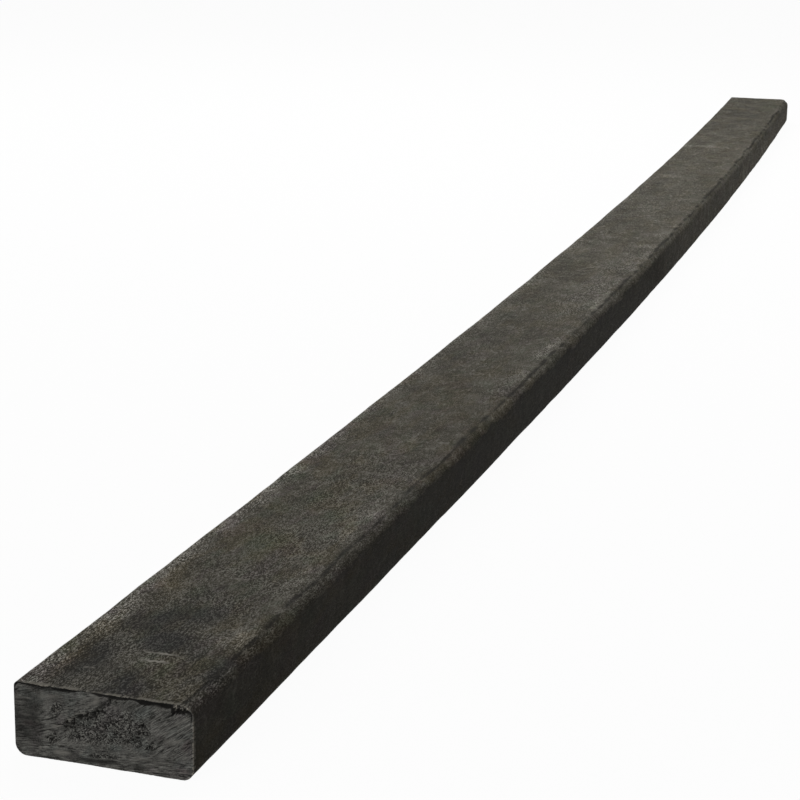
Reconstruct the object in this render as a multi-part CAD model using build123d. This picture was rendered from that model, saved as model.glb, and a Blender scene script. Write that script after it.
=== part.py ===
from build123d import *
import math
import os

# One plank of recycled mixed plastic: the melt is forced into a long closed mould, cooled in water,
# pulled out as a solid bar with rounded arrises, and sawn square to its stock length.
# Millimetres. +X runs along the plank, +Z is up out of the broad face that it lies on, and the
# origin is in that face, at the middle of the ground that the plank covers.
plank_length = 2800.0
plank_width = 100.0
plank_thickness = 41.0

# Three of the long arrises are full. The upper one on the +Y side filled out sharper in the mould.
full_arris_radius = 6.5
sharp_arris_radius = 3.0

# The bar bowed sideways as it cooled, so that its ends lean towards +Y: gently over the stretch
# that starts at the -X end, and about twice as much over the rest. Both bows are measured along
# the middle line of the plank and meet smoothly.
gentle_bow_radius = 85000.0
gentle_bow_length = 840.0
strong_bow_radius = 42500.0


def bar_profile():
    """The mould's section, standing on its lower edge, with the side that becomes +Y at the right."""
    section = Rectangle(plank_width, plank_thickness, align=(Align.CENTER, Align.MIN))
    upper_right = section.vertices().group_by(Axis.Y)[-1].sort_by(Axis.X)[-1]
    section = fillet(upper_right, sharp_arris_radius)
    upper_left = section.vertices().group_by(Axis.Y)[-1].sort_by(Axis.X)[0]
    section = fillet(upper_left, full_arris_radius)
    return fillet(section.vertices().group_by(Axis.Y)[0], full_arris_radius)


def middle_line():
    """The gentle bow, then the strong one, starting at the zero point and heading along +X."""
    gentle_turn = gentle_bow_length / gentle_bow_radius
    strong_turn = (plank_length - gentle_bow_length) / strong_bow_radius
    gentle_bow = CenterArc((0, gentle_bow_radius), gentle_bow_radius, -90, math.degrees(gentle_turn))
    towards_centre = Vector(-math.sin(gentle_turn), math.cos(gentle_turn))
    strong_centre = gentle_bow @ 1 + towards_centre * strong_bow_radius
    strong_bow = CenterArc(
        strong_centre, strong_bow_radius, -90 + math.degrees(gentle_turn), math.degrees(strong_turn)
    )
    return gentle_bow + strong_bow


def bowed_plank():
    """The section swept along the middle line, so that each sawn end is square to it there."""
    line = middle_line()
    sawn_end = Plane(origin=line @ 0, x_dir=(0, 1, 0), z_dir=(1, 0, 0))
    plank = sweep(sawn_end * bar_profile(), path=line)
    end_to_end = line @ 1 - line @ 0
    plank = Rot(Z=-math.degrees(math.atan2(end_to_end.Y, end_to_end.X))) * plank
    ground = plank.bounding_box().center()
    return Pos(-ground.X, -ground.Y, 0) * plank


os.makedirs("parts", exist_ok=True)
export_step(bowed_plank(), "parts/plank.step")
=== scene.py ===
import math

import bpy
import numpy as np
from mathutils import Matrix, Vector


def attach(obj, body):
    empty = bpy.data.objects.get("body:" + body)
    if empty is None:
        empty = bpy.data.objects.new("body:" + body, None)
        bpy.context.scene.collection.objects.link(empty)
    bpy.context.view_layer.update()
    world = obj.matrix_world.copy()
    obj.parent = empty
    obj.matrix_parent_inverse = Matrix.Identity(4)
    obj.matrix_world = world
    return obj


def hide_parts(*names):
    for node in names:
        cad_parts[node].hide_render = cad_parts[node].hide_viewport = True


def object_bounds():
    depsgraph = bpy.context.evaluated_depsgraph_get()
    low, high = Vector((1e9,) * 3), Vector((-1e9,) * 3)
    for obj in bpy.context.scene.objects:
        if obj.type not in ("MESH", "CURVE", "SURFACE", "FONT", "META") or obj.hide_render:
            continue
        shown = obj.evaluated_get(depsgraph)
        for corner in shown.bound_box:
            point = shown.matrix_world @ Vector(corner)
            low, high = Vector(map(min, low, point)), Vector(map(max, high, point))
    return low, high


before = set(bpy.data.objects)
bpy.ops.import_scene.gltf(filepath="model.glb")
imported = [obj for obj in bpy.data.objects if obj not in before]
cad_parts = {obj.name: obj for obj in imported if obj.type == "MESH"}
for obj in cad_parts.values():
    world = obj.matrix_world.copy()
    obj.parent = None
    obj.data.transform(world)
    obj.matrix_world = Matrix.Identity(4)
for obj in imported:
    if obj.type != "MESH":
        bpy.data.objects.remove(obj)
cad_low, cad_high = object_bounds()

# The bar. Recycled mixed polyethylene and polypropylene, forced as a melt into a long steel mould
# and cooled in water. The cold wall froze a dense skin with soft arrises, and as the melt behind it
# shrank the skin drew in unevenly, most of all along the arrises, and the bar bowed sideways.
mm = 0.001
length, width, thickness = 2800 * mm, 100 * mm, 41 * mm
full_arris, sharp_arris = 6.5 * mm, 3 * mm
gentle_bow_radius, gentle_bow_length, strong_bow_radius = 85.0, 840 * mm, 42.5

# Each arris: its side, whether it is an upper one, its radius, how far its softening reaches, how
# deep its lumps are at the near and the far end, and the steps round it and over the face after it.
arrises = (
    (1, 0, full_arris, 5.2 * mm, 0.25 * mm, 0.5 * mm, 8, 10),
    (1, 1, sharp_arris, 3 * mm, 0.08 * mm, 0.12 * mm, 6, 30),
    (-1, 1, full_arris, 5.2 * mm, 0.45 * mm, 1.7 * mm, 14, 10),
    (-1, 0, full_arris, 5.2 * mm, 0.1 * mm, 0.25 * mm, 8, 28),
)
# One upper arris is creased just past the face, and the crease drifts down it towards the far end.
# The skin beyond it is worn pale, and a pale lip stands before it.
creased_arris = 2
crease_past_the_face, crease_drift = 0.9 * mm, 1.4 * mm
crease_depth = 0.3 * mm
worn_past_crease, worn_reach = 3.8 * mm, 1.7 * mm
lip_before_crease, lip_reach = 2.4 * mm, 1.3 * mm


def outline(fineness):
    """The bar's section, from the underside's +Y arris anticlockwise as seen from the far end.

    Gives the corners, their outward directions, their distances round the outline, the middle of
    each arris and the distance at which it starts. Fineness is how many parts a step is cut into.
    """
    centres = [
        np.array([side * (width / 2 - radius), thickness - radius if upper else radius])
        for side, upper, radius, *_ in arrises
    ]
    corners, outward, crowns, starts = [], [], [], []
    for turn, (_, _, radius, _, _, _, round_steps, face_steps) in enumerate(arrises):
        starts.append(sum(len(part) for part in corners))
        angle = math.radians(90 * turn - 90)
        sweep = angle + np.linspace(0, math.pi / 2, round_steps * fineness, endpoint=False)
        away = np.stack([np.cos(sweep), np.sin(sweep)], 1)
        corners.append(centres[turn] + radius * away)
        outward.append(away)
        crown = np.array([math.cos(angle + math.pi / 4), math.sin(angle + math.pi / 4)])
        crowns.append(centres[turn] + radius * crown)
        face_away = np.array([math.cos(angle + math.pi / 2), math.sin(angle + math.pi / 2)])
        after = (turn + 1) % len(arrises)
        start = centres[turn] + radius * face_away
        end = centres[after] + arrises[after][2] * face_away
        share = np.linspace(0, 1, face_steps * fineness, endpoint=False)[:, None]
        corners.append(start + (end - start) * share)
        outward.append(np.repeat(face_away[None], face_steps * fineness, 0))
    corners, outward = np.concatenate(corners), np.concatenate(outward)
    steps = np.linalg.norm(np.roll(corners, -1, 0) - corners, axis=1)
    distance = np.concatenate([[0], np.cumsum(steps)[:-1]])
    return corners, outward, distance, crowns, [distance[start] for start in starts]


def middle_line(along):
    """The place and heading of the bar's middle line, with its near end at the zero point."""
    gentle = np.minimum(along, gentle_bow_length) / gentle_bow_radius
    heading = gentle + np.maximum(along - gentle_bow_length, 0) / strong_bow_radius
    x = gentle_bow_radius * np.sin(gentle) + strong_bow_radius * (np.sin(heading) - np.sin(gentle))
    y = gentle_bow_radius * (1 - np.cos(gentle)) + strong_bow_radius * (np.cos(gentle) - np.cos(heading))
    return x, y, heading


def bow(straight):
    """Turns places in a straight bar, as distance along, to the left and up, into the bowed one."""
    x, y, heading = middle_line(straight[..., 0])
    x = x - np.sin(heading) * straight[..., 1]
    y = y + np.cos(heading) * straight[..., 1]
    end_x, end_y, _ = middle_line(length)
    lean = math.atan2(end_y, end_x)
    turned_x = x * math.cos(lean) + y * math.sin(lean)
    turned_y = y * math.cos(lean) - x * math.sin(lean)
    return np.stack([turned_x, turned_y, straight[..., 2]], -1)


edge_along = np.repeat(np.linspace(0, length, 801), 2)
edge_side = np.tile([-width / 2, width / 2], 801)
edges = bow(np.stack([edge_along, edge_side, 0 * edge_side], -1))
cad_middle = (cad_low + cad_high) / 2
bow_middle = (edges.min(0) + edges.max(0)) / 2
to_frame = np.array([cad_middle.x - bow_middle[0], cad_middle.y - bow_middle[1], cad_low.z])


def swell(place, size, seed, waves=28):
    """Smooth random heights, about -1.5 to 1.5, with humps of about this size."""
    dice = np.random.default_rng(seed)
    turns = dice.normal(size=(waves, place.shape[-1]))
    turns *= dice.uniform(0.55, 1.5, (waves, 1)) / np.linalg.norm(turns, axis=1, keepdims=True)
    phases = dice.uniform(0, 2 * math.pi, waves)
    total = np.zeros(place.shape[:-1])
    for turn, phase in zip(turns, phases):
        total += np.cos(place @ turn * (math.pi / size) + phase)
    return total * math.sqrt(2 / waves)


# The skin shrank in from the mould by the first of these, by the second less on the underside, and
# nowhere by less than the third. Then come its swells: how deep each is, how long, and its seed.
skin_recess, underside_gain, least_recess = 0.26 * mm, 0.14 * mm, 0.05 * mm
skin_swells = ((0.10 * mm, 90 * mm, 11), (0.06 * mm, 34 * mm, 12), (0.035 * mm, 13 * mm, 13))


def skin(along, fineness):
    """Rings of the skin at these distances along the bar, and how far each is arris, crease or pale."""
    corners, outward, distance, crowns, starts = outline(fineness)
    straight = np.empty((len(along), len(corners), 3))
    straight[..., 0] = np.asarray(along)[:, None]
    straight[..., 1:] = corners
    drawn_in = skin_recess - underside_gain * np.clip(-outward[:, 1], 0, 1)
    for depth, size, seed in skin_swells:
        drawn_in = drawn_in + depth * swell(straight, size, seed)
    line = straight[:, :1, :1]
    to_far_end = line[..., 0] / length
    arris = np.zeros(straight.shape[:2])
    for number, (_, _, _, reach, near_depth, far_depth, _, _) in enumerate(arrises):
        near = np.exp(-((np.hypot(*(corners - crowns[number]).T) / reach) ** 2))
        lumps = 0.45 + 0.3 * swell(line, 23 * mm, 21 + number)
        lumps += 0.13 * swell(line, 9 * mm, 31 + number) + 0.65 * swell(line, 85 * mm, 41 + number)
        depth = near_depth + (far_depth - near_depth) * to_far_end
        drawn_in += near * np.clip(lumps, 0, 2) * depth
        arris = np.maximum(arris, near)
    wander = (0.4 + 0.3 * to_far_end) * mm * swell(line, 60 * mm, 51) + crease_drift * to_far_end**2
    off_crease = distance - starts[creased_arris] - crease_past_the_face - wander
    # The crease is a narrow groove with a wider flank beside it. Both darken the skin as painted shade,
    # and only the groove is sunk.
    line_reach, flank_reach = (0.8 + 0.6 * to_far_end) * mm, (2.0 + 1.5 * to_far_end) * mm
    line_only = np.exp(-((off_crease / line_reach) ** 2))
    crease = 0.5 * line_only + 0.5 * np.exp(-((off_crease / flank_reach) ** 2))
    faint = 0.35 * swell(line, 17 * mm, 52) + 0.25 * swell(line, 150 * mm, 54) - 0.2 * to_far_end
    crease *= np.clip(0.9 + faint, 0.15, 1.2)
    worn = np.exp(-(((off_crease - worn_past_crease) / worn_reach) ** 2))
    worn *= np.clip(1.05 - 1.2 * to_far_end, 0, 0.78)
    worn = worn * np.clip(0.75 + 0.3 * swell(line, 26 * mm, 55), 0, 1.3)
    lip = np.exp(-(((off_crease + lip_before_crease + 1.2 * mm * to_far_end) / lip_reach) ** 2))
    past_near_end = np.clip((line[..., 0] / mm - 90) / 160, 0, 1)
    lip *= np.clip(0.7 + 0.3 * swell(line, 34 * mm, 53), 0, 1.2) * past_near_end
    drawn_in += crease_depth * line_only * crease
    straight[..., 1:] -= outward * np.maximum(drawn_in, least_recess)[..., None]
    return straight, arris, crease, np.maximum(lip, worn)


corner_places, corner_marks = [], []
skin_faces, sawn_faces = [], []
mark_names = (
    "arris", "crease", "pale", "dark", "brown", "green", "threaded", "grainy",
    "pore", "porous", "smeared", "burr", "gap", "steep", "flat",
)


def lay_ring(straight, **marks):
    """Adds a ring of corners with what shows at each of them, and gives their numbers."""
    first = sum(len(ring) for ring in corner_places)
    corner_places.append(straight)
    row = [np.broadcast_to(marks.get(name, 0.0), len(straight)) for name in mark_names]
    corner_marks.append(np.stack(row, 1))
    return np.arange(first, first + len(straight))


def band(ring, next_ring):
    """Four-cornered faces between two rings with as many corners as each other."""
    return np.stack([ring, np.roll(ring, -1), np.roll(next_ring, -1), next_ring], 1).tolist()


def step_down(fine, coarse):
    """Triangles from a fine ring to a ring with a quarter of its corners."""
    triangles = []
    for number, corner in enumerate(coarse):
        after = coarse[(number + 1) % len(coarse)]
        a, b, c, d, e = (fine[(4 * number + step) % len(fine)] for step in range(5))
        triangles += [(a, b, corner), (b, c, corner), (c, after, corner), (c, d, after), (d, e, after)]
    return [[int(corner) for corner in triangle] for triangle in triangles]


# Places on the upper face where the skin is paler, darker, browner, greener, grainier or crossed by
# more threads, and one pale place along the left arris that is a painted highlight: the middle of
# each along the bar and to the left, its reach both ways in mm, and how strong it is.
skin_patches = {
    "pale": (
        (130, 45, 300, 9, 1.15),
        (900, 47, 900, 6, 0.35),
        # A painted highlight along the left upper arris.
        (800, 49.6, 1300, 2.4, 0.75),
        (1150, -40, 420, 6, 0.5),
        (300, -34, 160, 9, 0.35),
        (95, -37, 14, 6, 0.8),
        (420, -36, 18, 9, 0.6),
        (335, -36, 16, 8, 0.5),
        (690, -36, 40, 6, 0.15),
        (815, -36, 38, 5, 0.5),
        (1060, -22, 110, 15, 0.35),
        (1328, 26, 7, 13, 0.7),
        (1322, -26, 8, 16, 0.6),
        (1402, -35, 18, 7, 0.9),
        (1840, 22, 15, 18, 0.6),
        (2065, 21, 14, 6, 0.6),
        (2142, 18, 11, 26, 0.8),
        (2260, -5, 24, 12, 0.3),
        (1230, -8, 300, 38, 0.17),
    ),
    "dark": (
        (44, 2, 72, 28, 0.85),
        (118, 8, 68, 20, 0.45),
        (20, 28, 80, 12, 0.35),
        (40, -30, 60, 14, 0.22),
        (560, 0, 110, 22, 0.2),
        (760, 24, 200, 12, 0.3),
        (1250, 26, 420, 12, 0.15),
        (1640, 28, 140, 14, 0.25),
        (70, -45, 110, 5, 0.6),
        (1900, 30, 330, 14, 0.2),
        (2560, 10, 320, 50, 0.42),
    ),
    "brown": (
        (45, 33, 50, 9, 0.6),
        (52, -33, 14, 7, 0.8),
        (160, 29, 30, 8, 0.6),
        (420, 5, 260, 30, 0.3),
        (2610, 10, 22, 24, 0.7),
    ),
    "green": (
        (38, -17, 13, 3, 0.9),
        (112, 20, 12, 4, 0.9),
        (150, 13, 14, 6, 0.7),
        (170, -8, 14, 6, 0.7),
        (243, 8, 28, 13, 0.9),
        (310, -16, 26, 8, 0.9),
        (342, 11, 26, 9, 0.7),
        (390, 35, 10, 4, 0.9),
        (1180, 20, 60, 8, 0.6),
        (2690, -27, 70, 15, 0.9),
    ),
    "threaded": (
        (170, 0, 40, 40, 0.4),
        (300, -20, 110, 30, 0.9),
        (400, 5, 80, 30, 0.5),
        (690, -35, 45, 7, 1.0),
        (815, -36, 40, 6, 1.0),
        (1060, -22, 110, 16, 1.0),
        (1600, 10, 120, 40, 0.7),
        (1700, -20, 120, 20, 0.7),
    ),
    "grainy": (
        (0, 5, 170, 60, 1.0),
        (270, -22, 150, 26, 0.8),
        (360, 10, 130, 40, 0.5),
        (500, 46, 900, 7, 0.8),
        (690, -35, 45, 7, 1.0),
        (815, -36, 40, 6, 1.0),
        (1060, -22, 110, 16, 1.0),
        (1250, -30, 90, 16, 0.4),
        (1600, 10, 120, 40, 0.4),
        (1700, -20, 120, 20, 0.3),
        (1500, 44, 500, 6, 0.6),
    ),
}


def patches(straight, spots, seed):
    """How much of these patches shows at these places."""
    total = np.zeros(straight.shape[:-1])
    for along, left, reach_along, reach_left, strength in spots:
        u = (straight[..., 0] / mm - along) / reach_along
        v = (straight[..., 1] / mm - left) / reach_left
        total += strength * np.exp(-(u**2) - v**2)
    upper = np.clip((straight[..., 2] / mm - 34) / 5, 0, 1)
    return np.clip(total * upper * (1 + 0.35 * swell(straight, 22 * mm, seed)), 0, 1)


def lay_skin(along, fineness, burr=((0,),)):
    """Lays the skin's rings at these distances and gives their corner numbers."""
    straight, arris, crease, rubbed_pale = skin(along, fineness)
    burr = np.broadcast_to(burr, arris.shape)
    tints = {
        name: patches(straight, spots, 61 + number)
        for number, (name, spots) in enumerate(skin_patches.items())
    }
    tints["pale"] = np.maximum(tints["pale"], 0.6 * rubbed_pale)
    return [
        lay_ring(
            straight[number], arris=arris[number], crease=crease[number], burr=burr[number],
            **{name: tint[number] for name, tint in tints.items()},
        )
        for number in range(len(along))
    ]


# The sawn ends. A circular saw cut the bar square. It left slanting strokes and smears over the foamed
# core, flatter along the bottom, opened the core's pores, and pushed a thin ragged burr over the edges
# that it left last.
saw_recess = 0.9 * mm

# Clusters of open pores on each end: the middle from the end's left edge and from its top, the reach
# along and across, the tilt in degrees, how many there are, and the largest one's radius, all in mm.
near_pores = (
    (43, 13.5, 7, 1.4, -25, 60, 0.5),
    (32, 19.5, 4, 2.0, -45, 42, 0.5),
    (52, 7, 6, 1.1, -55, 34, 0.42),
    (22, 29, 3.5, 1.8, -45, 22, 0.42),
    (72.5, 17, 4.5, 2.0, 70, 40, 0.4),
    (75, 25.5, 3, 1.5, 0, 14, 0.36),
    (55, 19, 20, 5.5, -8, 130, 0.3),
    (60, 13, 10, 1.5, -20, 40, 0.34),
    (40, 24, 9, 2.3, -15, 46, 0.32),
    (50, 34.6, 8, 0.8, -5, 34, 0.3),
    (24, 12.5, 4.5, 1.8, -50, 26, 0.34),
    (64, 24, 8, 2.0, 5, 36, 0.3),
    (93.5, 2.6, 4, 1.3, 25, 11, 0.36),
    (71.5, 14.7, 0.3, 0.3, 0, 3, 0.6),
    (72.3, 18.8, 0.4, 0.4, 0, 4, 0.5),
    (69.3, 21, 1.5, 0.5, -40, 12, 0.6),
    (75.2, 25.6, 0.7, 0.4, -45, 5, 0.45),
    (29.6, 20.8, 1.3, 0.6, -55, 16, 0.6),
    (37.3, 15, 1.7, 0.5, -20, 14, 0.6),
    (29, 24.5, 0.6, 1.6, 0, 14, 0.4),
    (44, 14, 3, 1.0, -10, 30, 0.45),
)
far_pores = (
    (60, 22, 19, 2.0, 24, 70, 0.7),
    (45, 18, 14, 4.2, 10, 110, 0.42),
    (28, 25, 6, 3.0, -60, 38, 0.7),
    (70, 12, 7, 1.8, 40, 26, 0.6),
    (55, 35, 12, 1.2, -4, 30, 0.45),
)
# Where the burr stands: its middle to the left and up, its reach, how strong it is, and how far it
# lies over the sawn face, in mm.
near_burr = (
    (33, 41, 11, 1.0, 0.65),
    (19, 41, 7, 0.9, 0.55),
    (5, 41, 6, 0.55, 0.35),
    (-9, 41, 8, 0.85, 0.5),
    (-29, 41, 11, 0.95, 0.6),
    (-44, 39.5, 4.6, 1.15, 2.7),
    (-50, 18, 17, 1.0, 0.5),
    (0, 0, 52, 0.25, 0.2),
)
far_burr = (
    (-50, 20, 20, 0.9, 0.7),
    (-22, 41, 24, 0.8, 0.5),
    (24, 41, 16, 0.5, 0.4),
    (44, 4, 6, 0.9, 1.8),
    (0, 0, 52, 0.3, 0.3),
)
# Smears that the blade left, pale where it polished the plastic and dark where it tore it into shallow
# crevices, their dark partly painted shade: the same measures as the pores', with how strong each is.
near_pale_smears = (
    (20, 6, 8, 1.8, -8, 0.5),
    (24, 21.8, 2.8, 1.2, -25, 1.0),
    (28.2, 19.6, 2.4, 0.9, -35, 1.0),
    (32.2, 17, 3.0, 1.0, -38, 0.9),
    (37.5, 13.2, 4.0, 0.8, -12, 0.7),
    (24.3, 13.4, 0.9, 0.8, 0, 1.0),
    (26.5, 15.5, 3, 0.5, -50, 0.6),
    (22.5, 12, 2.4, 0.4, -50, 0.5),
    (46.5, 4.6, 3.0, 1.7, -60, 0.9),
    (43, 7.5, 4, 1.2, -35, 0.5),
    (27, 36.2, 5, 1.6, -3, 0.9),
    (14.6, 35.3, 0.8, 0.7, 0, 1.0),
    (37.5, 34.6, 1.5, 0.6, -10, 0.9),
    (92.3, 19.8, 3, 0.6, -32, 1.0),
    (86.5, 21.5, 4, 2.2, -10, 0.5),
    (92, 10, 6, 0.9, -38, 0.5),
    (86, 16, 6, 0.8, -30, 0.5),
    (71, 33, 5, 0.7, -8, 0.7),
    (80, 34, 8, 1.0, -10, 0.4),
    (64, 26.5, 8, 1.2, -8, 0.3),
    (7, 8.8, 3.4, 0.45, 0, 0.8),
    (7, 18.1, 3.2, 0.5, -3, 0.9),
    (7.5, 14.7, 2.6, 0.4, 0, 0.5),
    (7.5, 16.3, 2.6, 0.4, 0, 0.5),
    (13, 20.8, 1.2, 1.0, 0, 0.7),
    (38, 29, 12, 1.3, -8, 0.35),
)
near_dark_smears = (
    (50, 6.8, 3.6, 1.0, -45, 1.0),
    (54.7, 2.9, 2.4, 1.2, -35, 0.9),
    (46, 10.6, 2.6, 0.7, -50, 0.9),
    (42.5, 13.3, 4, 0.8, -12, 0.6),
    (37.2, 15, 2.4, 0.7, -22, 0.75),
    (33.6, 17.8, 2.5, 0.7, -38, 0.8),
    (29.8, 20.8, 2.2, 1.0, -55, 1.0),
    (22, 24.6, 3.6, 0.5, -3, 0.9),
    (22.9, 26.4, 0.9, 0.7, 0, 0.9),
    (21.7, 30, 1.8, 1.3, 60, 0.7),
    (21.5, 13.5, 4, 0.45, -55, 0.7),
    (24.8, 16, 3, 0.4, -50, 0.7),
    (6, 10.1, 5, 0.55, 0, 1.0),
    (5.5, 20, 5, 1.0, 0, 1.0),
    (8, 5.5, 2.6, 2.6, 0, 0.6),
    (8.8, 1.2, 1.2, 1.2, 0, 1.0),
    (4.5, 15, 5.5, 4.5, 0, 0.55),
    (7.5, 29.5, 2.6, 2.2, 0, 0.75),
    (7, 21, 10, 16, 0, 0.62),
    (46, 38, 12, 1.5, -2, 0.85),
    (22, 40, 12, 0.8, 0, 0.6),
    (70, 37.5, 6, 1.8, 0, 0.6),
    (54, 37.5, 6, 1.5, 0, 0.6),
    (21, 2.2, 12.5, 0.8, -1, 0.9),
    (80.5, 2.0, 7.2, 1.4, 0, 1.0),
    (39, 9, 5, 0.8, -30, 0.4),
    (62, 30, 8, 0.9, -6, 0.4),
    (96.4, 3.5, 2.6, 1.3, 35, 1.0),
)
far_pale_smears = (
    (30, 12, 16, 1.4, -12, 0.8),
    (70, 30, 14, 1.2, 18, 0.8),
    (86, 14, 6, 1.0, 30, 0.6),
    (12, 28, 8, 1.1, -30, 0.6),
)
far_dark_smears = (
    (95, 28, 4, 4.0, 0, 0.7),
    (50, 29, 14, 1.2, 12, 0.6),
    (8, 10, 6, 2.0, -20, 0.6),
)
# Where the heat of the blade smeared the plastic smooth, and where it came out greenish or rosy.
smooth_smears = ((20, 8, 12, 6.5, -15, 1.0), (62, 6, 8, 3.6, -20, 1.0), (30, 36, 10, 2, -5, 0.8))
greenish_smears = ((72, 8, 7, 4, -35, 0.7), (57, 29, 4, 2.6, 0, 0.7), (88, 15, 4, 1.6, -30, 0.7))
rosy_smears = ((96, 22, 4, 2.2, -60, 0.8), (8, 22.5, 4, 1.6, 0, 0.9), (94, 36, 5, 1.6, 0, 0.7))
burr_height, gap_depth, pore_depth = 0.6 * mm, 0.75 * mm, 1.3 * mm
pushed_out, greatest_height = 0.14 * mm, 0.82 * mm
# The strokes lean by these degrees over the end's right, its middle, and its left and bottom. The
# steep ones begin about a line through this place, from the left and the top in mm, square to this way.
steep_lean, middle_lean, flat_lean = 37, 20, 5
steep_from, steep_way = (20, 30), (0.614, 0.789)


def smears(across, down, strokes):
    """How much of these smears shows at these places on a sawn end."""
    shown = np.zeros(across.shape)
    for left, top, reach, spread, tilt, strength in strokes:
        turn = math.radians(tilt)
        u = ((across - left) * math.cos(turn) + (down - top) * math.sin(turn)) / reach
        v = ((down - top) * math.cos(turn) - (across - left) * math.sin(turn)) / spread
        shown = np.maximum(shown, strength * np.exp(-(u**4) - v**2))
    return shown


def open_pores(across, down, clusters, dice):
    """How deep the pores are at these places on a sawn end, and how porous it is round them."""
    depth = np.zeros(across.shape)
    porous = np.zeros(across.shape)
    for left, top, reach, spread, tilt, number, largest in clusters:
        turn = math.radians(tilt)
        on = dice.uniform(-reach, reach, number)
        off = dice.normal(0, spread, number)
        size = 0.12 + largest * dice.uniform(0.35, 1, number) ** 1.5
        for a, b, radius in zip(on, off, size):
            x = left + a * math.cos(turn) - b * math.sin(turn)
            y = top + a * math.sin(turn) + b * math.cos(turn)
            hole = np.exp(-((((across - x) ** 2 + (down - y) ** 2) / (1.05 * radius) ** 2) ** 1.5))
            depth = np.maximum(depth, hole * min(1, 0.45 + radius))
        u = (across - left) * math.cos(turn) + (down - top) * math.sin(turn)
        v = (down - top) * math.cos(turn) - (across - left) * math.sin(turn)
        porous = np.maximum(porous, np.exp(-((u / (1.1 * reach)) ** 4) - (v / (1.9 * spread)) ** 2))
    return depth, porous


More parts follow.
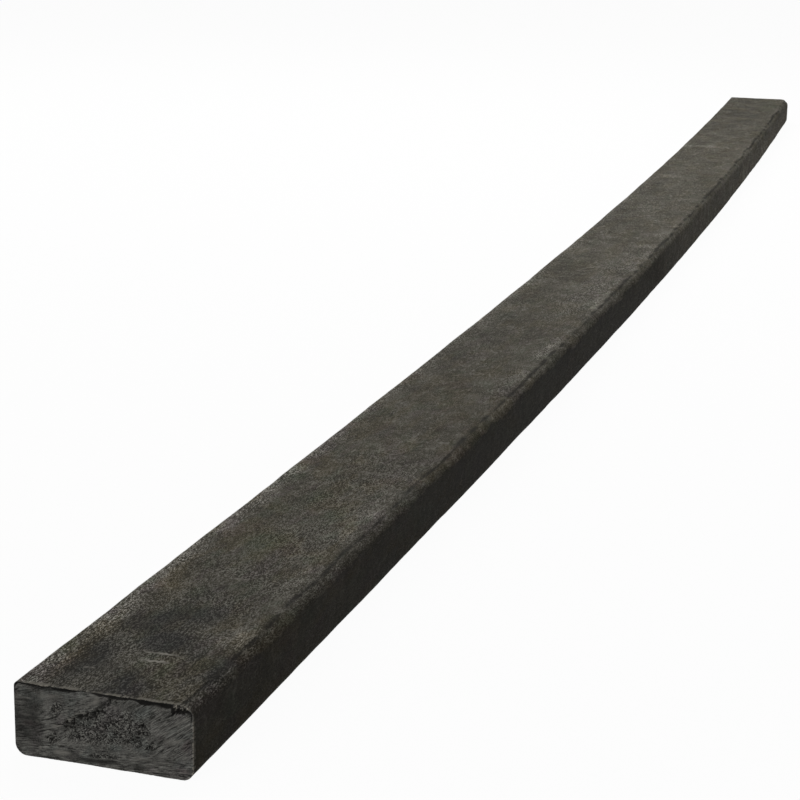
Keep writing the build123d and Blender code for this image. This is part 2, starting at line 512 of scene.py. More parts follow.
def lay_end(far, clusters, burr_spans, pale_smears, dark_smears, seed):
    """Lays one sawn end from the rim of the skin inwards, closes it, and gives the rim's numbers."""
    outwards = 1 if far else -1
    rim, arris, _, _ = skin([length if far else 0], 4)
    _, outward, distance, _, _ = outline(4)
    rim = rim[0, :, 1:]
    half = thickness / 2
    spine = np.stack([np.clip(rim[:, 0], half - width / 2, width / 2 - half), np.full(len(rim), half)], 1)
    first_steps = np.array([0, 0.22, 0.45, 0.75, 1.1, 1.5, 2.0, 2.5]) * mm
    inward = np.concatenate([first_steps, np.arange(3.1 * mm, half - 0.3 * mm, 0.62 * mm)])
    inside = rim + (spine - rim) * (inward / half)[:, None, None]
    inward = inward[:, None]
    line = distance[:, None]
    across = (width / 2 + outwards * inside[..., 0]) / mm
    down = (thickness - inside[..., 1]) / mm
    past_middle = (across - steep_from[0]) * steep_way[0] + (down - steep_from[1]) * steep_way[1]
    flat = np.clip((down - 27) / 6, 0, 1)
    flat = np.maximum(flat, np.clip((13 - across) / 5, 0, 1) * np.clip((down - 7) / 3, 0, 1))
    steep = (1 - flat) * np.clip((past_middle + 3) / 5, 0, 1)
    strokes = 0
    for shown, lean in ((steep, steep_lean), (1 - flat - steep, middle_lean), (flat, flat_lean)):
        turn = math.radians(lean)
        off_stroke = inside[..., 0] * math.sin(turn) + inside[..., 1] * math.cos(turn)
        on_stroke = inside[..., 0] * math.cos(turn) - inside[..., 1] * math.sin(turn)
        lines = np.stack([off_stroke, on_stroke / 12], -1)
        strokes += shown * (0.06 * swell(lines, 1.5 * mm, seed) + 0.06 * swell(lines, 3.6 * mm, seed + 1))
    pore, porous = open_pores(across, down, clusters, np.random.default_rng(seed + 3))
    pale, dark = smears(across, down, pale_smears), smears(across, down, dark_smears)
    saw_marks = strokes * mm + 0.11 * mm * swell(inside, 9 * mm, seed + 2)
    saw_marks += (0.15 * pale - 0.35 * dark) * mm
    saw_marks += porous * (0.07 * mm * swell(inside, 0.9 * mm, seed + 4) - 0.1 * mm) - pore_depth * pore
    saw_marks *= 1 - np.exp(-((inward / (1.1 * mm)) ** 2))

    presence = np.zeros(len(rim))
    overhang = np.full(len(rim), 0.3 * mm)
    for left, up, reach, strength, over in burr_spans:
        near = np.exp(-((np.hypot(rim[:, 0] - left * mm, rim[:, 1] - up * mm) / (reach * mm)) ** 4))
        presence = np.maximum(presence, strength * near)
        overhang = np.maximum(overhang, over * mm * near)
    ragged = 0.78 + 0.25 * swell(line, 7 * mm, seed + 5) + 0.3 * swell(line, 1.4 * mm, seed + 6)
    ragged = np.clip(ragged, 0, 1.15) * presence
    crumbs = 0.22 * swell(line, 5 * mm, seed + 7) + 0.2 * swell(line, 1.1 * mm, seed + 10)
    lip_width = overhang * np.clip(1 + crumbs, 0.5, 1.8)
    burr = ragged * np.exp(-((inward / lip_width) ** 4))
    # Under the burr runs a gap, sunk a little and painted nearly black as the burr's shadow.
    gap_width = np.clip(0.8 + 0.3 * swell(line, 9 * mm, seed + 9), 0.45, 1.6) * mm
    gap_width *= 0.45 + 0.55 * np.minimum(presence, 1)
    gap_width *= 0.6 + 0.9 * np.clip(across[0] / 50 - 0.6, 0, 1)
    gap = np.maximum(presence, 0.55) * np.exp(-(((inward - lip_width - gap_width) / gap_width) ** 2))
    gap *= np.clip(1.1 + 0.3 * swell(line, 6 * mm, seed + 8), 0, 1.2)
    gap *= np.clip((rim[:, 1] / mm - 31) / 4, 0.1, 1)
    smeared = smears(across, down, smooth_smears)
    greenish, rosy = smears(across, down, greenish_smears), smears(across, down, rosy_smears)
    proud = np.minimum(saw_marks + burr_height * burr - gap_depth * gap, greatest_height)
    along = (length - saw_recess if far else saw_recess) + outwards * proud
    inside[0] += outward * (pushed_out * burr[0])[:, None]

    rings = []
    for step in range(len(inward)):
        rings.append(lay_ring(
            np.column_stack([along[step], inside[step]]), arris=arris[0] * (step == 0),
            pore=pore[step], porous=porous[step], burr=burr[step], gap=gap[step],
            pale=pale[step], dark=dark[step], green=greenish[step], brown=rosy[step],
            steep=steep[step], flat=flat[step], smeared=smeared[step],
        ))
    new_faces = [face for ring, next_ring in zip(rings, rings[1:]) for face in band(ring, next_ring)]
    new_faces.append(rings[-1].tolist())
    sawn_faces.extend(new_faces if far else [face[::-1] for face in new_faces])
    return rings[0], burr[0]


near_rim, near_lip = lay_end(False, near_pores, near_burr, near_pale_smears, near_dark_smears, 100)
far_rim, far_lip = lay_end(True, far_pores, far_burr, far_pale_smears, far_dark_smears, 200)

# The rings of the skin lie close together behind each sawn end, where the burr needs them, and
# between the ends they stand at these steps from one place along the bar to another.
ring_spans = (
    (39 * mm, 300 * mm, 3 * mm),
    (300 * mm, 900 * mm, 5 * mm),
    (900 * mm, length - 40 * mm, 8 * mm),
)
behind_end = np.array([0.28, 0.65, 1.15, 1.8, 2.8, 4, 5.5, 7.5, 10, 13, 16.5, 20.5, 25, 30, 36]) * mm
burr_fade = np.exp(-((behind_end / (2.4 * mm)) ** 2))[:, None]
near_rings = [near_rim] + lay_skin(saw_recess + behind_end, 4, burr_fade * near_lip)
bar_rings = lay_skin(np.concatenate([np.arange(*span) for span in ring_spans]), 1)
far_rings = lay_skin(length - saw_recess - behind_end[::-2], 4, burr_fade[::-2] * far_lip) + [far_rim]
for rings in (near_rings, bar_rings, far_rings):
    for ring, next_ring in zip(rings, rings[1:]):
        skin_faces.extend(band(ring, next_ring))
skin_faces.extend(step_down(near_rings[-1], bar_rings[0]))
skin_faces.extend(face[::-1] for face in step_down(far_rings[0], bar_rings[-1]))

straight_places = np.concatenate(corner_places)
plank_mesh = bpy.data.meshes.new("plank")
plank_mesh.from_pydata((bow(straight_places) + to_frame).tolist(), [], skin_faces + sawn_faces)
marks = np.concatenate(corner_marks)
for number, name in enumerate(mark_names):
    layer = plank_mesh.attributes.new(name, "FLOAT", "POINT")
    layer.data.foreach_set("value", marks[:, number].astype(np.float32))
bar_place = plank_mesh.attributes.new("bar_place", "FLOAT_VECTOR", "POINT")
bar_place.data.foreach_set("vector", straight_places.astype(np.float32).ravel())
material_numbers = np.zeros(len(plank_mesh.polygons), dtype=np.int32)
material_numbers[len(skin_faces):] = 1
plank_mesh.polygons.foreach_set("material_index", material_numbers)
plank_mesh.polygons.foreach_set("use_smooth", np.ones(len(plank_mesh.polygons), dtype=bool))
plank_mesh.set_sharp_from_angle(angle=math.radians(50))
plank_mesh.validate()
plank = bpy.data.objects.new("plank_dressed", plank_mesh)
bpy.context.scene.collection.objects.link(plank)


def linear(colour):
    """Turns an sRGB hex colour into the linear one that a shader takes."""
    levels = [int(colour[place:place + 2], 16) / 255 for place in (1, 3, 5)]
    turned = [level / 12.92 if level <= 0.04045 else ((level + 0.055) / 1.055) ** 2.4 for level in levels]
    return turned + [1]


def add(tree, kind, inputs, **settings):
    """Adds a node with its settings, and links or sets its inputs by their names or numbers."""
    node = tree.nodes.new(kind)
    for name, value in settings.items():
        setattr(node, name, value)
    for name, value in inputs.items():
        if isinstance(value, bpy.types.NodeSocket):
            tree.links.new(value, node.inputs[name])
        else:
            node.inputs[name].default_value = value
    return node.outputs


def multiplied(tree, *values):
    """The product of these values."""
    product = values[0]
    for value in values[1:]:
        product = add(tree, "ShaderNodeMath", {0: product, 1: value}, operation="MULTIPLY")[0]
    return product


def with_shares(tree, total, *shares):
    """A total with a share of each of these values added."""
    for value, share in shares:
        total = add(tree, "ShaderNodeMath", {0: value, 1: share, 2: total}, operation="MULTIPLY_ADD")[0]
    return total


def drawn_out_noise(tree, place, scale, shift, **settings):
    """Noise with a scale of its own each way, moved so that no two patterns fall together."""
    drawn_out = add(
        tree, "ShaderNodeVectorMath", {0: place, 1: scale, 2: shift}, operation="MULTIPLY_ADD"
    )["Vector"]
    return add(tree, "ShaderNodeTexNoise", {"Vector": drawn_out, "Scale": 1.0, **settings})[0]


def cell_shades(tree, place, scale):
    """Three random shades for each cell of a pattern of this scale."""
    scaled = add(tree, "ShaderNodeVectorMath", {0: place, 1: scale}, operation="MULTIPLY")["Vector"]
    cells = add(tree, "ShaderNodeTexVoronoi", {"Vector": scaled, "Scale": 1.0}, feature="F1")
    return add(tree, "ShaderNodeSeparateColor", {0: cells["Color"]})


def off_by(tree, value, middle):
    """How far a value is from a middle one, either way."""
    difference = add(tree, "ShaderNodeMath", {0: value, 1: middle}, operation="SUBTRACT")[0]
    return add(tree, "ShaderNodeMath", {0: difference}, operation="ABSOLUTE")[0]


def lay_tints(tree, colour, tints, share=None, blend="MIX"):
    """Lays tints over a colour and gives the result.

    Each tint has what it shows by, the levels between which it fades in, its strength and its
    colour. All of them can be held back by one share.
    """
    for source, low, high, strength, tint in tints:
        amount = add(
            tree, "ShaderNodeMapRange",
            {"Value": source, "From Min": low, "From Max": high, "To Max": strength},
            interpolation_type="SMOOTHSTEP",
        )[0]
        if share is not None:
            amount = multiplied(tree, amount, share)
        colour = add(
            tree, "ShaderNodeMix", {0: amount, 6: colour, 7: linear(tint)}, data_type="RGBA",
            blend_type=blend,
        )[2]
    return colour


# Moulded recycled polyolefin: matt and faintly rough where the cold mould froze the first of the
# melt, clouded brown, green and purple grey by the mixed scrap, with flow marks along the bar.
moulded = bpy.data.materials.new("moulded_recycled_polyolefin")
moulded.use_nodes = True
tree = moulded.node_tree
tree.nodes.clear()
in_bar = add(tree, "ShaderNodeAttribute", {}, attribute_name="bar_place")["Vector"]

# Each pattern's size along the bar and across it in mm, its detail, and how much it sways the tone.
# The grain is under 0.5 mm across on the real skin, and is drawn coarser along it so that it shows.
skin_patterns = {
    "grain": (1.3, 0.45, 1, 0.40),
    "mottle": (9, 8, 2, 0.07),
    "blotch": (24, 22, 2, 0.12),
    "cloud": (110, 40, 2, 0.10),
    "ripple": (10, 24, 2, 0.10),
    "brown": (52, 18, 2, 0),
    "green": (36, 15, 2, 0),
    "purple": (40, 15, 2, 0),
    "wisp": (30, 17, 2, 0),
    "wispy": (70, 26, 1, 0),
    "thread": (15, 4, 2, 0),
    "broken": (11, 4, 1, 0),
    "edge": (20, 14, 2, 0),
}
skin_noise = {}
tone = 0.0
for number, (name, (along_size, across_size, detail, sway)) in enumerate(skin_patterns.items()):
    scale = (1 / (along_size * mm), 1 / (across_size * mm), 1 / (across_size * mm))
    shift = (7.3 * number, 3.1 * number, 5.7 * number)
    skin_noise[name] = drawn_out_noise(tree, in_bar, scale, shift, Detail=detail, Roughness=0.55)
    if sway:
        lift = add(
            tree, "ShaderNodeMapRange",
            {"Value": skin_noise[name], "From Min": 0.38, "From Max": 0.62, "To Min": -sway,
             "To Max": sway},
            interpolation_type="SMOOTHSTEP",
        )[0]
        tone = add(tree, "ShaderNodeMath", {0: lift, 1: tone}, operation="ADD")[0]

# The sides carry painted shade, darker than the faces. A band of deeper painted shade runs down from
# a ragged line under the arris, which drops away from the near end until the band fades. Low down,
# the far half is paler instead, with painted light as from the floor.
side_from, side_full = 48.0 * mm, 49.7 * mm
band_from, band_full, noise_lift = 37.2 * mm, 34.4 * mm, 7.0 * mm
place_parts = add(tree, "ShaderNodeSeparateXYZ", {0: in_bar})
off_middle = add(tree, "ShaderNodeMath", {0: place_parts["Y"]}, operation="ABSOLUTE")[0]
beyond_face = add(
    tree, "ShaderNodeMapRange", {"Value": off_middle, "From Min": side_from, "From Max": side_full},
    interpolation_type="SMOOTHSTEP",
)[0]
drop = with_shares(tree, -2.9 * mm, (skin_noise["wispy"], 9 * mm))
ragged_edge = with_shares(
    tree, place_parts["Z"], (skin_noise["edge"], 9 * mm), (place_parts["X"], drop),
    (skin_noise["mottle"], 5 * mm),
)
below_arris = add(
    tree, "ShaderNodeMapRange",
    {"Value": ragged_edge, "From Min": band_from + noise_lift, "From Max": band_full + noise_lift},
    interpolation_type="SMOOTHSTEP",
)[0]
fading = add(
    tree, "ShaderNodeMapRange",
    {"Value": place_parts["X"], "From Min": 0.85, "From Max": 1.95, "To Min": 1.0, "To Max": 0.0},
    interpolation_type="SMOOTHSTEP",
)[0]
growing = add(
    tree, "ShaderNodeMapRange",
    {"Value": place_parts["X"], "From Min": 0.15, "From Max": 0.6, "To Min": 0.63, "To Max": 1.0},
)[0]
# Painted shade in a band down the near part of the side.
painted_band_shade = multiplied(tree, beyond_face, below_arris, fading, growing)
far_away = add(
    tree, "ShaderNodeMapRange", {"Value": place_parts["X"], "From Min": 1.5, "From Max": 2.4},
    interpolation_type="SMOOTHSTEP",
)[0]
low_down = add(
    tree, "ShaderNodeMapRange", {"Value": place_parts["Z"], "From Min": 38 * mm, "From Max": 8 * mm}
)[0]
# Painted light low on the far half of the side, as from the floor.
painted_floor_light = multiplied(tree, beyond_face, low_down, far_away)
not_far_away = add(tree, "ShaderNodeMath", {0: 1.0, 1: far_away}, operation="SUBTRACT")[0]
# Painted shade over the sides, lifting towards the far end.
painted_side_shade = multiplied(tree, beyond_face, not_far_away)
skin_marks = {
    name: add(tree, "ShaderNodeAttribute", {}, attribute_name=name)["Fac"]
    for name in ("arris", "crease", "pale", "dark", "brown", "green", "threaded", "grainy", "burr")
}

# Flecks of the ground scrap, each a shade of its own, most of them dull and a few pale. They stand
# out where the skin froze grainy, and break up its pale places. They are 0.5 mm wide, and drawn
# longer along the bar than the real ones so that they show.
fleck_shades = cell_shades(tree, in_bar, (1 / (1.4 * mm), 1 / (0.5 * mm), 1 / (0.5 * mm)))
broken_up = add(
    tree, "ShaderNodeMapRange",
    {"Value": fleck_shades[1], "From Min": 0.2, "From Max": 0.9, "To Min": 0.25, "To Max": 1.6},
)[0]
pale_flecks = multiplied(tree, skin_marks["pale"], broken_up)

# The skin's own grey, with painted shade on the sides and in the crease, a faint painted highlight on
# the arrises and painted floor light low on the far side, and the scrap's tints as thin glazes over
# it. The glazes are weaker away from the near end, as they are on the real bar.
skin_colour = add(
    tree, "ShaderNodeMix", {0: skin_noise["cloud"], 6: linear("#4a473f"), 7: linear("#524f46")},
    data_type="RGBA",
)[2]
skin_colour = lay_tints(tree, skin_colour, (
    (skin_marks["dark"], 0.0, 1.0, 0.95, "#2d2c29"),
    (pale_flecks, 0.0, 1.2, 0.8, "#7c786f"),
    (painted_side_shade, 0.0, 1.0, 0.5, "#403c33"),
    (painted_band_shade, 0.0, 1.0, 0.96, "#22201b"),
    (painted_floor_light, 0.0, 1.0, 0.75, "#6b665c"),
    # A faint painted highlight on the arrises.
    (skin_marks["arris"], 0.35, 1.0, 0.10, "#59554d"),
    # Painted shade in and beside the crease.
    (skin_marks["crease"], 0.05, 0.85, 0.90, "#22201b"),
))
glazed = add(
    tree, "ShaderNodeMapRange",
    {"Value": place_parts["X"], "From Min": 0.3, "From Max": 1.1, "To Min": 1.0, "To Max": 0.5},
)[0]
skin_colour = lay_tints(tree, skin_colour, (
    (skin_noise["brown"], 0.48, 0.62, 0.75, "#fff8e6"),
    (skin_noise["green"], 0.53, 0.64, 0.75, "#f2fdf6"),
    (skin_noise["purple"], 0.53, 0.64, 0.75, "#fbf4ff"),
    (skin_marks["brown"], 0.0, 1.0, 0.9, "#fff6e2"),
    (skin_marks["green"], 0.0, 1.0, 1.0, "#f0fdf0"),
), share=glazed, blend="MULTIPLY")

mostly_dull = add(tree, "ShaderNodeMath", {0: fleck_shades[0], 1: 2.5}, operation="POWER")[0]
lift = with_shares(tree, -1.0, (mostly_dull, 3.6))
grainy = with_shares(tree, 0.30, (skin_marks["grainy"], 0.8), (skin_marks["dark"], 0.4))
tone = with_shares(tree, tone, (lift, grainy))

# A few flecks are larger, and these too are drawn longer than the real ones. They are faint close to
# the near end.
spot = cell_shades(tree, in_bar, (1 / (5 * mm), 1 / (1.5 * mm), 1 / (1.5 * mm)))[0]
lift = add(tree, "ShaderNodeMapRange", {"Value": spot, "From Min": 0.80, "From Max": 0.96})[0]
lift = with_shares(tree, -0.06, (lift, 0.6))
away = add(
    tree, "ShaderNodeMapRange",
    {"Value": place_parts["X"], "From Min": 0.1, "From Max": 0.5, "To Min": 0.25},
)[0]
tone = with_shares(tree, tone, (lift, away))

# Pale threads and wisps lie mostly across the bar, where one fold of the melt met the next: what
# draws each, how wide it is, how strong, and where it shows.
for line_noise, edge, strength, gate, gate_low, gate_high, everywhere in (
    ("wisp", 0.018, 0.9, "wispy", 0.47, 0.58, 1.0),
    ("thread", 0.05, 1.25, "broken", 0.47, 0.56, 0.3),
):
    on_line = add(
        tree, "ShaderNodeMapRange",
        {"Value": off_by(tree, skin_noise[line_noise], 0.5), "From Min": edge,
         "From Max": 0.2 * edge, "To Max": strength},
        interpolation_type="SMOOTHSTEP",
    )[0]
    in_places = add(
        tree, "ShaderNodeMapRange",
        {"Value": skin_noise[gate], "From Min": gate_low, "From Max": gate_high},
        interpolation_type="SMOOTHSTEP",
    )[0]
    on_line = multiplied(tree, on_line, in_places)
    if everywhere < 1:
        threaded = with_shares(tree, everywhere, (skin_marks["threaded"], 1 - everywhere))
        on_line = multiplied(tree, on_line, threaded)
    tone = add(tree, "ShaderNodeMath", {0: on_line, 1: tone}, operation="ADD")[0]

# The pattern stands out more on the sides. It makes the colour lighter and darker, and greyer where
# it is light.
livelier = with_shares(tree, 1.0, (beyond_face, 0.6))
tone = with_shares(tree, 1.0, (tone, livelier))
tone = add(tree, "ShaderNodeClamp", {"Value": tone, "Min": 0.3, "Max": 3.2})[0]
skin_colour = add(tree, "ShaderNodeVectorMath", {0: skin_colour, "Scale": tone}, operation="SCALE")[0]
greyer = add(
    tree, "ShaderNodeMapRange",
    {"Value": tone, "From Min": 0.5, "From Max": 2.0, "To Min": 1.3, "To Max": 0.7},
)[0]
skin_colour = add(tree, "ShaderNodeHueSaturation", {"Color": skin_colour, "Saturation": greyer})[0]
skin_colour = lay_tints(tree, skin_colour, ((skin_marks["burr"], 0.12, 0.6, 0.8, "#7d7970"),))

# Scuffs across the upper face, where the bar was dragged off another one: how far along and to the
# left each one's middle is, its reach both ways in mm, and how strong it is.
scuffs = (
    (49, -7, 1.6, 9.5, 1.0),
    (60, -7, 1.4, 10.5, 0.85),
    (30, 21.5, 1.4, 3.5, 0.5),
    (182, -2, 2.0, 6, 0.4),
    (353, -14, 2.4, 12, 0.2),
    (412, -14, 2.6, 18, 0.25),
    (500, -34, 4.0, 4, 0.5),
)
raggedness = 6 * mm
upper = add(tree, "ShaderNodeMath", {0: place_parts["Z"], 1: 35 * mm}, operation="GREATER_THAN")[0]
ragged_place = with_shares(tree, place_parts["X"], (skin_noise["thread"], raggedness))
unbroken = add(
    tree, "ShaderNodeMapRange",
    {"Value": skin_noise["broken"], "From Min": 0.4, "From Max": 0.5, "To Min": 0.5},
)[0]
for scuff_along, scuff_left, scuff_reach, scuff_spread, strength in scuffs:
    off_along = off_by(tree, ragged_place, scuff_along * mm + raggedness / 2)
    off_left = off_by(tree, place_parts["Y"], scuff_left * mm)
    spread = scuff_spread * mm
    near_line = add(
        tree, "ShaderNodeMapRange",
        {"Value": off_along, "From Min": scuff_reach * mm, "From Max": 0.5 * scuff_reach * mm},
        interpolation_type="SMOOTHSTEP",
    )[0]
    in_span = add(
        tree, "ShaderNodeMapRange",
        {"Value": off_left, "From Min": spread, "From Max": 0.7 * spread, "To Max": strength},
        interpolation_type="SMOOTHSTEP",
    )[0]
    amount = multiplied(tree, near_line, in_span, upper, unbroken)
    skin_colour = add(
        tree, "ShaderNodeMix", {0: amount, 6: skin_colour, 7: linear("#938f86")}, data_type="RGBA"
    )[2]

skin_roughness = add(
    tree, "ShaderNodeMapRange",
    {"Value": skin_noise["grain"], "From Min": 0.3, "From Max": 0.7, "To Min": 0.8, "To Max": 0.92},
)[0]
height = with_shares(
    tree, 0.0, (skin_noise["grain"], 0.7), (skin_noise["mottle"], 0.9), (skin_noise["ripple"], 0.5)
)
skin_bump = add(tree, "ShaderNodeBump", {"Strength": 1.0, "Distance": 0.4 * mm, "Height": height})[0]
shader = add(
    tree, "ShaderNodeBsdfPrincipled",
    {"Base Color": skin_colour, "Roughness": skin_roughness, "Normal": skin_bump, "IOR": 1.5,
     "Specular IOR Level": 0.08},
)[0]
add(tree, "ShaderNodeOutputMaterial", {"Surface": shader})

# Sawn recycled polyolefin: the teeth tore and smeared the foamed core, so it is a cooler grey than
# the skin, streaked along the blade's path and pitted where cells stand open, with painted shade
# darkening the pits and the open pores.
sawn = bpy.data.materials.new("sawn_foamed_polyolefin")
sawn.use_nodes = True
tree = sawn.node_tree
tree.nodes.clear()
in_bar = add(tree, "ShaderNodeAttribute", {}, attribute_name="bar_place")["Vector"]
sawn_marks = {
    name: add(tree, "ShaderNodeAttribute", {}, attribute_name=name)["Fac"]
    for name in (
        "pale", "dark", "green", "brown", "pore", "porous",
        "smeared", "burr", "gap", "steep", "flat",
    )
}
between = with_shares(tree, 1.0, (sawn_marks["steep"], -1.0), (sawn_marks["flat"], -1.0))

# The strokes show less where the blade smeared, polished or tore the plastic.
plain = with_shares(
    tree, 1.0, (sawn_marks["smeared"], -0.65), (sawn_marks["pale"], -0.6), (sawn_marks["dark"], -0.6)
)
plain = add(tree, "ShaderNodeMath", {0: plain, 1: 0.15}, operation="MAXIMUM")[0]

# Each lean of the strokes shows on its own part of the end. Each is drawn twice, as broad smears and
# as the fine torn lines on them: how long and how wide they are in mm, how much they darken and
# lighten, and how pale the hairs are that stand in the middle of them.
stroke_kinds = ((11, 1.9, -0.34, 0.40, 0.6), (5.5, 0.5, -0.66, 1.05, 0.0))
tone = 0.0
height = 0.0
lean_parts = (
    (steep_lean, sawn_marks["steep"]), (middle_lean, between), (flat_lean, sawn_marks["flat"])
)
for lean, shown in lean_parts:
    turned = add(
        tree, "ShaderNodeVectorRotate", {"Vector": in_bar, "Angle": math.radians(lean)},
        rotation_type="X_AXIS",
    )["Vector"]
    for stroke_length, stroke_width, darker, paler, hair_strength in stroke_kinds:
        scale = (1 / (20 * mm), 1 / (stroke_length * mm), 1 / (stroke_width * mm))
        shift = (lean, stroke_length, 0)
        stroke = drawn_out_noise(
            tree, turned, scale, shift, Detail=1.0, Roughness=0.6, Distortion=0.55
        )
        lift = add(
            tree, "ShaderNodeMapRange",
            {"Value": stroke, "From Min": 0.37, "From Max": 0.63, "To Min": darker, "To Max": paler},
        )[0]
        if hair_strength:
            hair = add(
                tree, "ShaderNodeMapRange",
                {"Value": off_by(tree, stroke, 0.5), "From Min": 0.026, "From Max": 0.008,
                 "To Max": hair_strength},
            )[0]
            lift = add(tree, "ShaderNodeMath", {0: lift, 1: hair}, operation="ADD")[0]
        tone = with_shares(tree, tone, (multiplied(tree, lift, plain), shown))
    height = with_shares(tree, height, (stroke, shown))

# Each pattern's size in mm, its detail, and how much it sways the tone. All of them are drawn out
# along the bar, into the plastic.
sawn_patterns = {
    "patchy": (7, 3, 0.38),
    "grit": (0.55, 1, 0.4),
    "rosy": (14, 1, 0),
    "greenish": (11, 1, 0),
    "cells": (0.8, 2, 0),
}
sawn_noise = {}
for number, (name, (size, detail, sway)) in enumerate(sawn_patterns.items()):
    scale = (0.3 / (size * mm), 1 / (size * mm), 1 / (size * mm))
    shift = (4.1 * number, 9.3 * number, 2.7 * number)
    sawn_noise[name] = drawn_out_noise(tree, in_bar, scale, shift, Detail=detail, Roughness=0.6)
    if sway:
        lift = add(
            tree, "ShaderNodeMapRange",
            {"Value": sawn_noise[name], "From Min": 0.34, "From Max": 0.66, "To Min": -sway,
             "To Max": sway},
        )[0]
        tone = add(tree, "ShaderNodeMath", {0: lift, 1: tone}, operation="ADD")[0]

# Round the open pores lie the foam's cells, 0.75 mm wide. Some are bright with a painted highlight on
# their rims, some are cut open as pits painted dark as shade, and the other patterns are calmer there.
cell_size = 0.75 * mm
calmer = with_shares(tree, 1.0, (sawn_marks["porous"], -0.65))
tone = with_shares(tree, 1.0, (tone, calmer))
lift = add(
    tree, "ShaderNodeMapRange",
    {"Value": sawn_noise["cells"], "From Min": 0.38, "From Max": 0.62, "To Min": -0.6, "To Max": 0.7},
)[0]
cell = cell_shades(tree, in_bar, (0.3 / cell_size, 1 / cell_size, 1 / cell_size))[0]
# Painted highlights on the rims of some cells.
painted_cell_glint = add(tree, "ShaderNodeMapRange", {"Value": cell, "From Min": 0.74, "From Max": 0.86})[0]
painted_cell_glint = multiplied(tree, painted_cell_glint, sawn_marks["porous"])
painted_pit_shade = add(tree, "ShaderNodeMapRange", {"Value": cell, "From Min": 0.34, "From Max": 0.26})[0]
painted_pit_shade = multiplied(tree, painted_pit_shade, sawn_marks["porous"])
tone = with_shares(
    tree, tone, (lift, sawn_marks["porous"]), (painted_cell_glint, 1.8), (sawn_marks["pale"], 0.3),
    (sawn_marks["dark"], -0.25),
)
tone = add(tree, "ShaderNodeClamp", {"Value": tone, "Min": 0.25, "Max": 2.8})[0]

# The foam's grey with faint tints from the scrap, and over them what the saw did to it, with painted
# shade in the gap under the burr, in the open pores and in the pits.
sawn_colour = add(
    tree, "ShaderNodeMix", {0: sawn_noise["patchy"], 6: linear("#53524e"), 7: linear("#5e5d59")},
    data_type="RGBA",
)[2]
sawn_colour = lay_tints(tree, sawn_colour, (
    (sawn_noise["rosy"], 0.54, 0.66, 0.30, "#534d4e"),
    (sawn_noise["greenish"], 0.55, 0.66, 0.25, "#4a504d"),
    (sawn_marks["green"], 0.0, 1.0, 0.40, "#4a5350"),
    (sawn_marks["brown"], 0.0, 1.0, 0.50, "#574c4c"),
    (sawn_marks["burr"], 0.12, 0.6, 0.9, "#827d74"),
))
sawn_colour = add(tree, "ShaderNodeVectorMath", {0: sawn_colour, "Scale": tone}, operation="SCALE")[0]
sawn_colour = lay_tints(tree, sawn_colour, (
    (sawn_marks["pale"], 0.08, 0.9, 0.80, "#8a8780"),
    # Dark smears, partly painted shade in their crevices.
    (sawn_marks["dark"], 0.06, 0.9, 0.82, "#292826"),
    # Painted shadow of the burr, in the gap under it.
    (sawn_marks["gap"], 0.06, 0.42, 0.95, "#131210"),
    # Painted shade in the open pores.
    (sawn_marks["pore"], 0.15, 0.75, 0.92, "#151412"),
    # Painted shade in the cut-open cells.
    (painted_pit_shade, 0.2, 0.8, 0.85, "#1a1917"),
))
height = with_shares(tree, height, (sawn_noise["cells"], sawn_marks["porous"]))
sawn_bump = add(tree, "ShaderNodeBump", {"Strength": 1.0, "Distance": 0.8 * mm, "Height": height})[0]
sawn_roughness = add(
    tree, "ShaderNodeMapRange",
    {"Value": sawn_noise["patchy"], "From Min": 0.3, "From Max": 0.7, "To Min": 0.88, "To Max": 0.75},
)[0]
shader = add(
    tree, "ShaderNodeBsdfPrincipled",
    {"Base Color": sawn_colour, "Roughness": sawn_roughness, "Normal": sawn_bump, "IOR": 1.5,
     "Specular IOR Level": 0.1},
)[0]
add(tree, "ShaderNodeOutputMaterial", {"Surface": shader})

plank_mesh.materials.append(moulded)
plank_mesh.materials.append(sawn)
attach(plank, "root")
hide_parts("plank")

# The studio. The bar lies on a wide pale floor under one large soft lamp, before a white surround.
# The floor and the surround are white to the camera, and the floor keeps the bar's soft shadow.
def seen_directly(tree):
    """Whether a ray comes from the camera or by way of a mirror or glass, and not off a matt surface."""
    rays = add(tree, "ShaderNodeLightPath", {})
    seen = rays["Is Camera Ray"]
    for kind in ("Is Glossy Ray", "Is Transmission Ray"):
        seen = add(tree, "ShaderNodeMath", {0: seen, 1: rays[kind]}, operation="MAXIMUM")[0]
    return seen


floor_reach = 14.0
floor_mesh = bpy.data.meshes.new("studio_floor")
floor_corners = [(-floor_reach, -floor_reach, 0), (floor_reach, -floor_reach, 0),
                 (floor_reach, floor_reach, 0), (-floor_reach, floor_reach, 0)]
floor_mesh.from_pydata(floor_corners, [], [(0, 1, 2, 3)])
floor = bpy.data.objects.new("studio_floor", floor_mesh)
bpy.context.scene.collection.objects.link(floor)
paper = bpy.data.materials.new("pale_paper")
paper.use_nodes = True
tree = paper.node_tree
tree.nodes.clear()
lit = add(tree, "ShaderNodeBsdfDiffuse", {"Color": linear("#8c8c8c")})[0]
lit_white = add(tree, "ShaderNodeBsdfDiffuse", {"Color": linear("#ffffff")})[0]
white = add(tree, "ShaderNodeEmission", {"Color": linear("#ffffff"), "Strength": 1.0})[0]
white = add(tree, "ShaderNodeMixShader", {0: 0.96, 1: lit_white, 2: white})[0]
surface = add(tree, "ShaderNodeMixShader", {0: seen_directly(tree), 1: lit, 2: white})[0]
add(tree, "ShaderNodeOutputMaterial", {"Surface": surface})
floor_mesh.materials.append(paper)

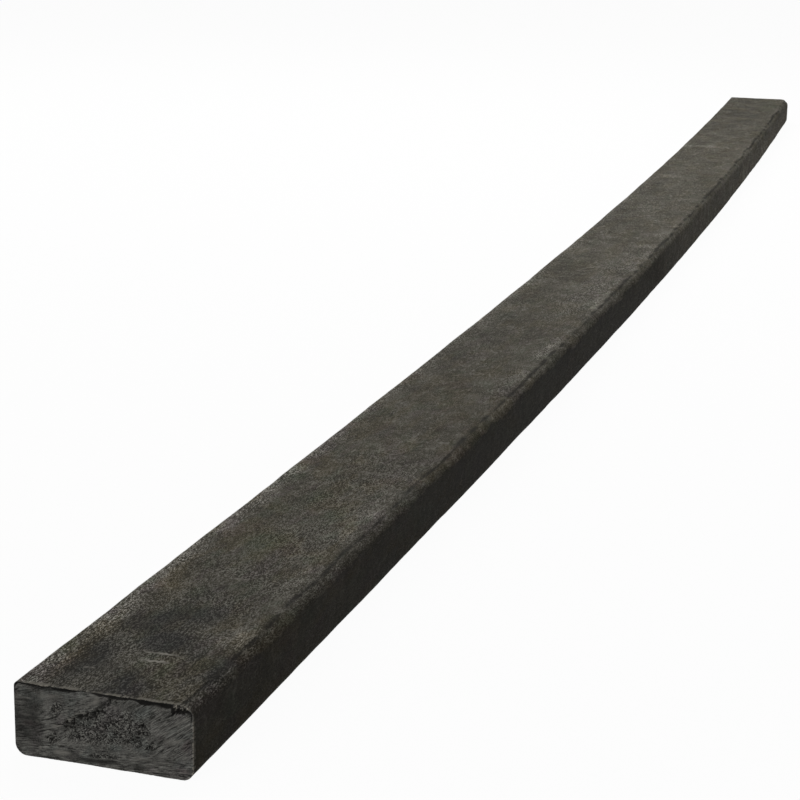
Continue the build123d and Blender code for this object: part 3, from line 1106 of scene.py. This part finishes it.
surround = bpy.data.worlds.new("white_surround")
bpy.context.scene.world = surround
surround.use_nodes = True
tree = surround.node_tree
tree.nodes.clear()
room = add(tree, "ShaderNodeBackground", {"Color": linear("#ffffff"), "Strength": 0.18})[0]
white = add(tree, "ShaderNodeBackground", {"Color": linear("#ffffff"), "Strength": 1.0})[0]
surface = add(tree, "ShaderNodeMixShader", {0: seen_directly(tree), 1: room, 2: white})[0]
add(tree, "ShaderNodeOutputWorld", {"Surface": surface})

overhead = bpy.data.lights.new("overhead_softbox", "AREA")
overhead.shape = "RECTANGLE"
overhead.size, overhead.size_y = 2.6, 1.8
overhead.energy = 36
overhead_lamp = bpy.data.objects.new("overhead_softbox", overhead)
overhead_lamp.location = (0.9, 0.5, 1.8)
toward_bar = Vector((0.6, 0, 0)) - overhead_lamp.location
overhead_lamp.rotation_euler = toward_bar.to_track_quat("-Z", "X").to_euler()
bpy.context.scene.collection.objects.link(overhead_lamp)

front = bpy.data.lights.new("front_softbox", "AREA")
front.shape = "SQUARE"
front.size = 1.2
front.energy = 22
front_lamp = bpy.data.objects.new("front_softbox", front)
front_lamp.location = (-3.4, 0.9, 0.9)
toward_near_end = Vector((-1.4, 0, 0.02)) - front_lamp.location
front_lamp.rotation_euler = toward_near_end.to_track_quat("-Z", "Y").to_euler()
bpy.context.scene.collection.objects.link(front_lamp)

# The camera stands low before the near end, a little to its right, and looks along the bar.
photo_place = (-2.29517, -0.39927, 0.45579)
heading, looking_down, roll = 15.9547, 14.8923, 1.0156
lens = bpy.data.cameras.new("photo_view")
lens.lens, lens.sensor_width = 93.48, 36
lens.clip_end = 60
camera = bpy.data.objects.new("photo_view", lens)
camera.matrix_world = (
    Matrix.Translation(photo_place)
    @ Matrix.Rotation(math.radians(heading - 90), 4, "Z")
    @ Matrix.Rotation(math.radians(90 - looking_down), 4, "X")
    @ Matrix.Rotation(math.radians(roll), 4, "Z")
)
bpy.context.scene.collection.objects.link(camera)
bpy.context.scene.camera = camera
bpy.context.scene.view_settings.view_transform = "Standard"
